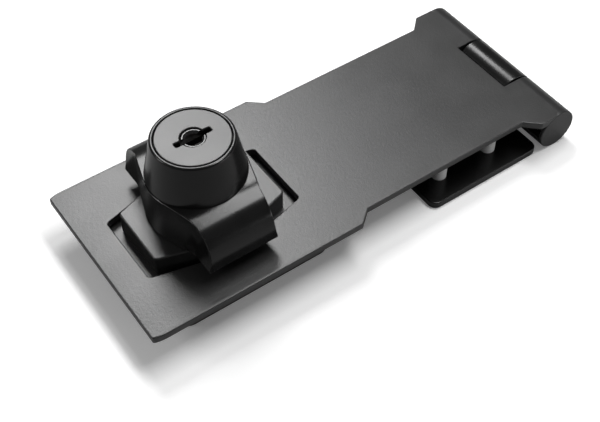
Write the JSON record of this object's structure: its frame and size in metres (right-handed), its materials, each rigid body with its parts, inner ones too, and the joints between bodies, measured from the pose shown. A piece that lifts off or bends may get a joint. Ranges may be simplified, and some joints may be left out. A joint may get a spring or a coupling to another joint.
{
  "type": "keyed hasp lock",
  "caption": "Hinged steel hasp strap with a window over a six-sided boss, held by a keyed twist knob with a saddle-shaped wing; screw-on base and hinge leaf.",
  "frame": {"origin": "on the mounting surface, under the knob's axis, which is also the centre of the four base screws", "axes": "+X along the strap towards the hinge, +Z away from the mounting surface, out through the knob"},
  "size_m": [0.113, 0.0458, 0.033],
  "materials": {
    "powder_coat": "fine-grained satin black powder coat",
    "black_casting": "smooth semi-gloss black",
    "black_pin": "satin black",
    "face_plate": "satin grey-black",
    "stud_steel": "turned, bright",
    "plug_metal": "blackened",
    "wafer_brass": "stamped",
    "spring_steel": "bright spring steel",
    "bolt_steel": "zinc plated"
  },
  "bodies": {
    "hasp": {"hasp_strap": "powder_coat", "hinge_pin": "black_pin", "pin_end_cap": "black_pin", "lock_base": "powder_coat"},
    "leaf": {"hinge_leaf": "powder_coat", "leaf_stud_1": "stud_steel", "leaf_stud_2": "stud_steel", "leaf_stud_3": "stud_steel", "leaf_stud_4": "stud_steel"},
    "knob": {"knob_body": "black_casting", "stop_washer": "spring_steel", "retaining_ring": "spring_steel"},
    "plug": {"cylinder_plug": "plug_metal", "plug_face": "face_plate", "wafer_1": "wafer_brass", "wafer_2": "wafer_brass", "wafer_3": "wafer_brass", "wafer_4": "wafer_brass", "wafer_5": "wafer_brass", "wafer_spring_1": "spring_steel", "wafer_spring_2": "spring_steel", "wafer_spring_3": "spring_steel", "wafer_spring_4": "spring_steel", "wafer_spring_5": "spring_steel"},
    "bolt": {"locking_bolt": "bolt_steel"}
  },
  "joints": [
    {"name": "leaf_swing", "type": "hinge", "parent": "hasp", "child": "leaf", "pos_m": [0.0833, 0, 0.005], "axis": [0, -1, 0], "range_deg": [0, 180]},
    {"name": "knob_turn", "type": "hinge", "parent": "hasp", "child": "knob", "pos_m": [0, 0, 0.0132], "axis": [0, 0, 1], "range_deg": [0, 90]},
    {"name": "key_turn", "type": "hinge", "parent": "knob", "child": "plug", "pos_m": [0, 0, 0.025], "axis": [0, 0, -1], "range_deg": [0, 90]},
    {"name": "bolt_throw", "type": "slide", "parent": "knob", "child": "bolt", "axis": [1, 0, 0], "range_m": [0, 0.00283]}
  ],
  "couplings": [
    {"joint": "bolt_throw", "follows": "key_turn", "m_per_rad": 0.0018006}
  ]
}
